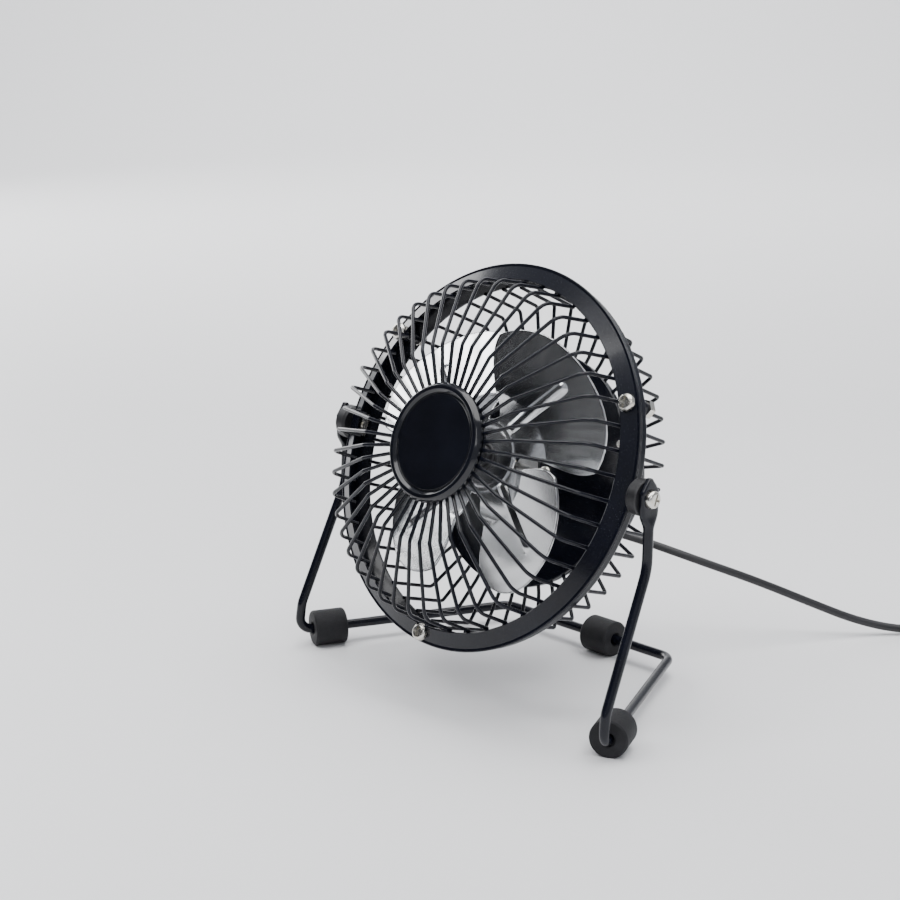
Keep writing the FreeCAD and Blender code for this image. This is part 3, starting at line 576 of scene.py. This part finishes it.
# ---- stage --------------------------------------------------------------------------------------
class StageOperator(bpy.types.Operator):
    """Makes the table, the lights and the camera"""
    bl_idname = "fan.stage"
    bl_label = "Stage"

    def execute(self, context):
        self.camera(context)
        self.table(context)
        self.flag(context)
        self.lights(context)
        return {"FINISHED"}

    def camera(self, context):
        """A long lens, a little above the fan and half way round to its left side."""
        yaw = math.radians(CAMERA_YAW)
        pitch = math.radians(CAMERA_PITCH)
        aim = Vector((0, PIVOT.y, CAMERA_AIM_HEIGHT))
        back = Vector((math.sin(yaw) * math.cos(pitch), -math.cos(yaw) * math.cos(pitch), math.sin(pitch)))
        data = bpy.data.cameras.new("Camera")
        data.sensor_width = 36.0
        data.lens = CAMERA_LENS
        data.shift_x, data.shift_y = CAMERA_SHIFT
        camera = bpy.data.objects.new("Camera", data)
        camera.location = aim + back * CAMERA_DISTANCE
        camera.rotation_mode = "QUATERNION"
        camera.rotation_quaternion = (-back).to_track_quat("-Z", "Y")
        context.scene.collection.objects.link(camera)
        context.scene.camera = camera

    def table(self, context):
        """A pale sheet that curves up far behind the fan."""
        line = bent_line([Vector((0, -3, 0)), Vector((0, 3.2, 0)), Vector((0, 3.2, 3.5))], [1.6], 24)
        verts = [point + Vector((x, 0, 0)) for point in line for x in (-5.0, 5.0)]
        faces = [(2 * n, 2 * n + 1, 2 * n + 3, 2 * n + 2) for n in range(len(line) - 1)]
        mesh = bpy.data.meshes.new("table_top")
        mesh.from_pydata(verts, [], faces)
        mesh.transform(Matrix.Rotation(math.radians(45), 4, "Z"))
        sheet = bpy.data.objects.new("table_top", mesh)
        context.scene.collection.objects.link(sheet)
        smooth(sheet, 60)
        mesh.materials.append(table_top(context.scene.fan_finish))

    def flag(self, context):
        """A dark card ahead of the fan, out of view, for its polished faces to mirror."""
        corners = [(-1.1, -0.65, 0.01), (0.3, -1.0, 0.01), (0.3, -1.0, 0.8), (-1.1, -0.65, 0.8)]
        mesh = bpy.data.meshes.new("dark_card")
        mesh.from_pydata(corners, [], [(0, 1, 2, 3)])
        card = bpy.data.objects.new("dark_card", mesh)
        context.scene.collection.objects.link(card)
        matt = Finish("Dark card", Base_Color=(0.01, 0.01, 0.012), Roughness=0.9)
        mesh.materials.append(matt.material)

    def lights(self, context):
        """A broad lamp overhead, three lesser ones, one for the far end of the table, and an even sky."""
        # Each lamp: its name, place, aim, width, height and power in watts.
        lamps = (
            ("overhead", (0.1, 0.15, 1.3), PIVOT, 1.3, 1.3, 26.0),
            ("key", (-0.40, -0.85, 1.30), PIVOT, 0.6, 0.6, 9.0),
            ("left", (-1.3, 0.15, 0.55), PIVOT, 0.7, 0.7, 9.0),
            ("right", (1.1, -0.5, 0.9), PIVOT, 0.35, 0.7, 4.0),
            ("backdrop", (-0.9, 0.9, 1.6), (-2.3, 2.3, 0.5), 1.6, 1.6, 60.0),
        )
        for name, place, target, width, height, power in lamps:
            data = bpy.data.lights.new(name, "AREA")
            data.shape = "RECTANGLE"
            data.size = width
            data.size_y = height
            data.energy = power
            lamp = bpy.data.objects.new(name, data)
            lamp.location = place
            aim = Vector(target) - Vector(place)
            lamp.rotation_mode = "QUATERNION"
            lamp.rotation_quaternion = aim.to_track_quat("-Z", "Y")
            context.scene.collection.objects.link(lamp)
        sky = bpy.data.worlds.new("Sky")
        sky.use_nodes = True
        even = sky.node_tree.nodes["Background"].inputs
        even["Color"].default_value = (0.9, 0.93, 1.0, 1.0)
        even["Strength"].default_value = 0.5
        context.scene.world = sky


class FinishesOperator(bpy.types.Operator):
    """Makes the finishes and gives them to the CAD pieces that stay"""
    bl_idname = "fan.finishes"
    bl_label = "Finishes"

    def execute(self, context):
        for slot, material in make_finishes(context.scene.fan_finish).items():
            context.scene["finish_" + slot] = material.name
        for part in frame["record"]["subparts"]:
            piece = frame["nodes"][part["node"]]
            piece.data.materials.clear()
            piece.data.materials.append(finish_for(part["material_slot"]))
            smooth(piece, 32)
        return {"FINISHED"}


# ---- lead ---------------------------------------------------------------------------------------
class LeadOperator(bpy.types.Operator):
    """Makes the lead, from the housing's back to the plug"""
    bl_idname = "fan.lead"
    bl_label = "Lead"

    def route(self, lead):
        """The lead's points: out of the sleeve, down to the table, round the coil and to the plug."""
        floor = lead.diameter / 2
        exit_point = HEAD @ (Vector((0, EXIT_DROP, HOUSING_BACK - SLEEVE_REACH)) * MM)
        onward = HEAD.to_3x3() @ Vector((0, 0, -1))
        ahead = Vector((0, PIVOT.y, 0))
        route = [exit_point - onward * 0.004, exit_point, exit_point + onward * 0.007]
        route += [ahead + Vector(point) * MM for point in LEAD_OUT]
        route += self.coil(lead, floor)
        return route + [ahead + Vector(point) * MM for point in LEAD_TAIL]

    def coil(self, lead, floor):
        """Neat turns, inwards on one layer and outwards on the next."""
        centre = Vector((COIL_X, PIVOT.y + COIL_Y, floor))
        outer = lead.coil_radius + lead.diameter
        inner = lead.coil_radius - lead.diameter
        spiral = 2 * COIL_TURN_POINTS
        step = math.tau / COIL_TURN_POINTS
        spread = 1 / math.cos(math.pi / COIL_TURN_POINTS)
        points = []
        angle = math.radians(COIL_START)
        for layer in range(lead.coil_layers):
            start, end = (outer, inner) if layer % 2 == 0 else (inner, outer)
            last = layer == lead.coil_layers - 1
            for n in range(spiral + (1 if last else 0)):
                radius = start + (end - start) * n / spiral
                points.append(centre + polar(radius * spread, angle, layer * lead.diameter))
                angle -= step
            for n in range(0 if last else COIL_CLIMB_POINTS):
                height = (layer + n / COIL_CLIMB_POINTS) * lead.diameter
                points.append(centre + polar(end * spread, angle, height))
                angle -= step
        return points

    def execute(self, context):
        lead = context.scene.fan_lead
        curve = bpy.data.curves.new("lead_route", "CURVE")
        curve.dimensions = "3D"
        curve.resolution_u = 6
        spline = curve.splines.new("NURBS")
        route = self.route(lead)
        spline.points.add(len(route) - 1)
        for place, point in zip(spline.points, route):
            place.co = (*point, 1.0)
        spline.order_u = 3
        spline.use_endpoint_u = True
        drawn = bpy.data.objects.new("lead_route", curve)
        context.scene.collection.objects.link(drawn)
        context.view_layer.update()
        traced = bpy.data.meshes.new_from_object(drawn)
        line = [vertex.co.copy() for vertex in traced.vertices]
        bpy.data.objects.remove(drawn)
        around = 14
        ring = circle(lead.diameter / 2, around)
        verts, faces = tubed(line, Vector((1, 0, 0)), lambda number: ring, around)
        nodes = ("usb_cord", "usb_cord_coil", "usb_cord_tail")
        piece = new_piece("usb_lead", verts, faces, "cord_rubber", nodes, None, sharp=70)
        exit_point = route[1]
        exit_point + Vector((0.052, 0.052, -0.025))
        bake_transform(piece)
        plug = [frame["nodes"][name] for name in ("usb_plug_shell", "usb_plug_tongue", "usb_plug_contacts")]
        plug.append(bpy.data.objects["plug_grip"])
        return {"FINISHED"}


class PlugGripOperator(bpy.types.Operator):
    """Makes the plug's moulded grip: a rounded body with finger ribs and a tapered neck"""
    bl_idname = "fan.plug_grip"
    bl_label = "Plug grip"

    def execute(self, context):
        low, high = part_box("usb_plug_grip")
        middle = (low + high) / 2
        wide = (high.x - low.x) / 2
        tall = (high.z - low.z) / 2
        long = high.y - low.y
        around = 48
        rows = 120

        def size(share):
            """Half width, half height and squareness at a share of the length from the lead's end."""
            if share < NECK_SHARE:
                grow = (share / NECK_SHARE) ** 2
                radius = NECK_TIP + (NECK_ROOT - NECK_TIP) * grow
                radius -= 0.0003 * (math.sin(share / NECK_SHARE * math.pi * 6) > 0.2)
                return radius, radius, 2.0
            along = (share - NECK_SHARE) / (1 - NECK_SHARE)
            swell = min(1.0, math.sqrt(max(0.0, 1 - (1 - min(1.0, along / 0.14)) ** 2)))
            end = min(1.0, math.sqrt(max(0.0, 1 - (1 - min(1.0, (1 - along) / 0.03)) ** 2)) * 0.06 + 0.94)
            rib = 0.00025 * (0.25 < along < 0.62) * (math.sin(along * math.tau * 13) > 0.1)
            half_wide = (NECK_ROOT + (wide - NECK_ROOT) * swell) * end - rib
            half_tall = (NECK_ROOT + (tall - NECK_ROOT) * swell) * end - rib
            return half_wide, half_tall, 2.0 + 2.6 * swell

        verts = []
        for row in range(rows + 1):
            share = row / rows
            y = high.y - long * share
            verts += [(middle.x + a, y, middle.z + b) for a, b in squared_circle(*size(share), around)]
        faces = ring_faces(rows + 1, around)
        faces.append(tuple(range(around)))
        faces.append(tuple(range(len(verts) - around, len(verts))))
        new_piece("plug_grip", verts, faces, "cord_rubber", ["usb_plug_grip"], "stand", sharp=45)
        return {"FINISHED"}


class SleeveOperator(bpy.types.Operator):
    """Makes the ribbed rubber sleeve round the lead where it leaves the housing"""
    bl_idname = "fan.sleeve"
    bl_label = "Strain relief"

    def execute(self, context):
        back = HOUSING_BACK
        tip = back - SLEEVE_REACH
        corners = [(SLEEVE_BORE, tip, 0.1), (2.15, tip, 0.3)]
        ribs = 5
        for n in range(ribs):
            low = back - 11.0 + 2.0 * n
            wide = 2.25 + 0.17 * n
            corners += [(wide, low, 0.15), (wide, low + 0.9, 0.15)]
            corners += [(wide - 0.45, low + 1.0, 0.1), (wide - 0.45, low + 1.9, 0.1)]
        corners += [(3.9, back - 1.0, 0.3), (3.9, back - 0.05, 0.1), (2.5, back - 0.05, 0.0),
                    (2.5, back + 1.1, 0.0), (3.6, back + 1.1, 0.1), (3.6, back + 2.2, 0.3),
                    (SLEEVE_BORE, back + 2.4, 0.1)]
        verts, faces = lathed(rounded_outline(corners, 3), 40)
        place = HEAD @ Matrix.Translation((0, EXIT_DROP * MM, 0))
        new_piece("lead_sleeve", verts, faces, "cord_rubber", ["strain_relief"], "head", place)
        return {"FINISHED"}


# ---- guards and cap -----------------------------------------------------------------------------
class GuardOperator(bpy.types.Operator):
    """Makes the wires of both guards"""
    bl_idname = "fan.guards"
    bl_label = "Guard wires"

    def wires(self, name, line, node, guard):
        """Copies of one bent wire all round."""
        around = 12
        ring = circle(guard.wire_radius, around)
        verts, faces = tubed(line, Vector((0, 1, 0)), lambda number: ring, around)
        all_verts = []
        all_faces = []
        for n in range(guard.wires):
            turn = Matrix.Rotation(guard.first_wire + math.tau * n / guard.wires, 3, "Z")
            base = len(all_verts)
            all_verts += [turn @ vert for vert in verts]
            all_faces += [tuple(base + index for index in face) for face in faces]
        new_piece(name, all_verts, all_faces, "black_paint", [node], "head", HEAD, sharp=50)

    def execute(self, context):
        guard = context.scene.fan_guard
        inside = guard.ring_inner - guard.wire_radius - 0.00005
        front = [Vector((0.013, 0, guard.kink_height - 0.0019)),
                 Vector((guard.kink_radius, 0, guard.kink_height)),
                 Vector((guard.shoulder_radius, 0, guard.shoulder_height)), Vector((inside, 0, 0.0032))]
        line = bent_line(front, [0.002, guard.shoulder_bend], 10)
        self.wires("front_wires", line, "front_guard_wires", guard)
        weld = -guard.plate_depth - guard.wire_radius - 0.00005
        rear = [Vector((inside, 0, -0.0036)), Vector((guard.rear_radius, 0, -guard.rear_depth)),
                Vector((guard.plate_radius + 0.0025, 0, weld)),
                Vector((guard.plate_radius - 0.0035, 0, weld))]
        line = bent_line(rear, [0.0014, 0.008], 10)
        self.wires("rear_wires", line, "rear_guard_wires", guard)
        return {"FINISHED"}


class CapOperator(bpy.types.Operator):
    """Makes the front cap: a rounded rim, a groove and a flat sunk disc"""
    bl_idname = "fan.cap"
    bl_label = "Front cap"

    def execute(self, context):
        guard = context.scene.fan_guard
        rim = guard.cap_radius / MM
        edge = guard.cap_disc / MM
        back = guard.cap_back / MM
        top = back + guard.cap_height / MM
        corners = [(0.0, back - 1.6, 0), (7.0, back - 1.6, 0.3), (7.0, back, 0.2),
                   (rim - 0.1, back, 0.3), (rim, back + 1.0, 0.5), (rim - 1.1, top, 0.9),
                   (edge + 0.9, top, 0.5), (edge, top - 0.9, 0.3), (edge - 0.15, top - 1.4, 0.15),
                   (edge - 0.55, top - 1.4, 0.15), (edge - 0.8, top - 1.05, 0.25),
                   (0.0, top - 1.05, 0)]
        outline = rounded_outline(corners, 6)
        verts, faces = lathed(outline, 192)
        new_piece("front_cap", verts, faces, "cap_gloss", ["badge_cap"], "head", HEAD, sharp=50)
        return {"FINISHED"}


# ---- blade --------------------------------------------------------------------------------------
class BladeOperator(bpy.types.Operator):
    """Makes the blade: ribbed, pitched petals round a dished centre, out of one sheet"""
    bl_idname = "fan.blade"
    bl_label = "Blade"

    def half_angle(self, share):
        """Half the angle that a petal covers at a share of its length."""
        return math.radians(34.0 + 12.5 * math.sin(math.pi * min(1.0, share * 0.72)) - 7.0 * share ** 5)

    def petal_point(self, blade, share, side):
        """A point of a petal's sheet: share runs from root to tip, side from -1 to 1."""
        tip = blade.sweep * (1 - 0.13 * abs(side) ** 4)
        radius = blade.root + (tip - blade.root) * share
        across = side * self.half_angle((radius - blade.root) / (blade.sweep - blade.root))
        twist = blade.pitch * min(1.0, max(0.0, (radius - blade.root) / 0.010)) ** 1.5
        point = Vector((radius * math.cos(across), radius * math.sin(across) * math.cos(twist),
                        radius * math.sin(across) * math.sin(twist)))
        return point + Vector((0, -math.sin(twist), math.cos(twist))) * self.rib(blade, point)

    def rib(self, blade, point):
        """How far the pressed rib stands out at a point."""
        start = polar(0.012, math.radians(8), 0)
        end = polar(0.038, math.radians(1), 0)
        line = end - start
        flat = Vector((point.x, point.y, 0))
        share = max(0.0, min(1.0, (flat - start).dot(line) / line.length_squared))
        away = (flat - start - line * share).length
        across = max(0.0, 1 - 2 * away / blade.rib_width)
        return blade.rib_height * math.sin(math.pi / 2 * across)

    def execute(self, context):
        blade = context.scene.fan_blade_sizes
        columns = 96
        gap = 16
        rows = 52
        step = math.tau / blade.petals
        root_half = self.half_angle(0.0)
        verts = []
        around = blade.petals * (columns + gap)
        angles = []
        for petal in range(blade.petals):
            middle = blade.first_petal + step * petal
            angles += [middle - root_half + 2 * root_half * n / columns for n in range(columns)]
            angles += [middle + root_half + (step - 2 * root_half) * n / gap for n in range(gap)]
        rings = BLADE_DISH + [(blade.root / MM, 0.0)]
        for radius, height in rings:
            verts += [polar(radius * MM, angle, height * MM) for angle in angles]
        faces = ring_faces(len(rings), around)
        outer = (len(rings) - 1) * around
        for petal in range(blade.petals):
            turn = Matrix.Rotation(blade.first_petal + step * petal, 3, "Z")
            last = [outer + (petal * (columns + gap) + n) % around for n in range(columns + 1)]
            for row in range(1, rows + 1):
                here = []
                for n in range(columns + 1):
                    here.append(len(verts))
                    verts.append(turn @ self.petal_point(blade, row / rows, 2 * n / columns - 1))
                faces += [(last[n], last[n + 1], here[n + 1], here[n]) for n in range(columns)]
                last = here
        piece = new_piece("blade", verts, faces, "blade_aluminium", ["fan_blade"], "rotor", HEAD, sharp=60)
        sheet = piece.modifiers.new("Sheet", "SOLIDIFY")
        sheet.thickness = blade.sheet
        sheet.offset = 0.0
        sheet.use_even_offset = True
        edge = piece.modifiers.new("Sheared edge", "BEVEL")
        edge.width = 0.00016
        edge.segments = 2
        edge.limit_method = "ANGLE"
        edge.angle_limit = math.radians(60)
        return {"FINISHED"}


# ---- stand --------------------------------------------------------------------------------------
class StandOperator(bpy.types.Operator):
    """Makes the stand: one bent rod whose ends are pressed flat and pointed"""
    bl_idname = "fan.stand"
    bl_label = "Stand rod"

    def half_line(self, stand):
        """The rod's middle line, from the top of the right leg to the middle of the crossbar."""
        top = PIVOT.z
        y = PIVOT.y
        points = [Vector((stand.leg_x, y, top + FLAT_TOP)), Vector((stand.leg_x, y, top + FLAT_BOTTOM)),
                  Vector((stand.leg_x + 0.0003, y - 0.0006, 0.059)),
                  Vector((stand.front_x - 0.0004, y - 0.021, 0.0165)),
                  Vector((stand.front_x, y - stand.front_y, stand.rod_height)),
                  Vector((stand.back_x, y + stand.back_y, stand.rod_height)),
                  Vector((0, y + stand.back_y, stand.rod_height))]
        bends = bent_line(points, [0.0, 0.020, 0.009, 0.0046, 0.0065], 10)
        flat = [points[0] + (points[1] - points[0]) * n / 24 for n in range(24)]
        neck = [points[1] + (bends[2] - points[1]) * n / 12 for n in range(12)]
        return flat + neck + bends[2:]

    def execute(self, context):
        stand = context.scene.fan_stand
        line = self.half_line(stand)
        around = 32
        rod = stand.rod_radius

        def section(number):
            """Round below, and flat with rounded corners at the top."""
            height = line[number].z - PIVOT.z
            if height < FLAT_BOTTOM:
                return circle(rod, around)
            flat = min(1.0, (height - FLAT_BOTTOM) / FLAT_BLEND)
            flat = flat * flat * (3 - 2 * flat)
            point = max(0.0, min(1.0, (FLAT_TOP - height) / POINT_LENGTH))
            half_wide = rod + (stand.flat_width / 2 - rod) * flat
            if height > POINT_BOTTOM:
                half_wide = stand.flat_width / 2 * (0.16 + 0.84 * point)
            half_thick = rod + (stand.flat_thickness / 2 - rod) * flat
            return squared_circle(half_thick, half_wide, 2.0 + 5.0 * flat, around)

        verts, faces = tubed(line, Vector((1, 0, 0)), section, around, capped=False)
        faces.append(tuple(range(around)))
        half = len(verts)
        verts += [Vector((-vert.x, vert.y, vert.z)) for vert in verts]
        faces += [tuple(half + index for index in face) for face in faces]
        new_piece("stand", verts, faces, "black_paint", ["stand_rod"], "stand", sharp=50)
        return {"FINISHED"}


class FeetOperator(bpy.types.Operator):
    """Makes the rubber feet: sleeves with sunk ends"""
    bl_idname = "fan.feet"
    bl_label = "Feet"

    def foot(self, name, node, centre, along, stand):
        rod = stand.rod_radius / MM + 0.02
        radius = stand.foot_radius / MM
        half = stand.foot_length / MM / 2
        corners = [(rod, -half + 1.3, 0.1), (rod + 0.5, -half + 1.1, 0.2), (rod + 0.7, -half + 0.1, 0.1),
                   (rod + 1.2, -half, 0.2), (radius - 0.5, -half, 0.5), (radius, -half + 0.6, 0.5),
                   (radius, half - 0.6, 0.5), (radius - 0.5, half, 0.5), (rod + 1.2, half, 0.2),
                   (rod + 0.7, half - 0.1, 0.1), (rod + 0.5, half - 1.1, 0.2), (rod, half - 1.3, 0.1)]
        verts, faces = lathed(rounded_outline(corners, 5), 96)
        turn = along.to_track_quat("Z", "Y").to_matrix().to_4x4()
        place = Matrix.Translation(centre) @ turn
        placed = [place @ Vector(vert) for vert in verts]
        flat = [Vector((vert.x, vert.y, max(vert.z, 0.0))) for vert in placed]
        new_piece(name, flat, faces, "foot_rubber", [node], "stand")

    def execute(self, context):
        stand = context.scene.fan_stand
        for word, side in (("right", 1), ("left", -1)):
            bend = Vector((side * stand.front_x, PIVOT.y - stand.front_y, stand.rod_height))
            back = Vector((side * stand.back_x, PIVOT.y + stand.back_y, stand.rod_height))
            along = (back - bend).normalized()
            centre = bend + along * (0.0052 + stand.foot_length / 2)
            self.foot("foot_front_" + word, "front_foot_" + word, centre, along, stand)
        low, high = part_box("rear_foot")
        centre = Vector(((low.x + high.x) / 2, PIVOT.y + stand.back_y, stand.rod_height))
        self.foot("foot_rear", "rear_foot", centre, Vector((1, 0, 0)), stand)
        return {"FINISHED"}


# ---- panel, registration and running ------------------------------------------------------------
OPERATORS = [FinishesOperator, StageOperator, PlugGripOperator, LeadOperator, SleeveOperator,
             GuardOperator, CapOperator, BladeOperator, StandOperator, FeetOperator]


class FanPanel(bpy.types.Panel):
    """Lists the fan's settings and the steps that build it"""
    bl_idname = "VIEW3D_PT_desk_fan"
    bl_label = "Desk fan"
    bl_space_type = "VIEW_3D"
    bl_region_type = "UI"
    bl_category = "Desk fan"

    def draw(self, context):
        for name, group in SETTINGS.items():
            box = self.layout.box()
            box.label(text=group.__doc__)
            for setting in group.__annotations__:
                box.prop(getattr(context.scene, name), setting)
        for operator in OPERATORS:
            self.layout.operator(operator.bl_idname)


def register():
    for group in (*SETTINGS.values(), *OPERATORS, FanPanel):
        bpy.utils.register_class(group)
    for name, group in SETTINGS.items():
        setattr(bpy.types.Scene, name, PointerProperty(type=group))


def unregister():
    for name in SETTINGS:
        delattr(bpy.types.Scene, name)
    for group in reversed((*SETTINGS.values(), *OPERATORS, FanPanel)):
        bpy.utils.unregister_class(group)


def main():
    """Builds every piece in order."""
    register()
    for operator in OPERATORS:
        group, name = operator.bl_idname.split(".")
        getattr(getattr(bpy.ops, group), name)()


if __name__ == "__main__":
    main()
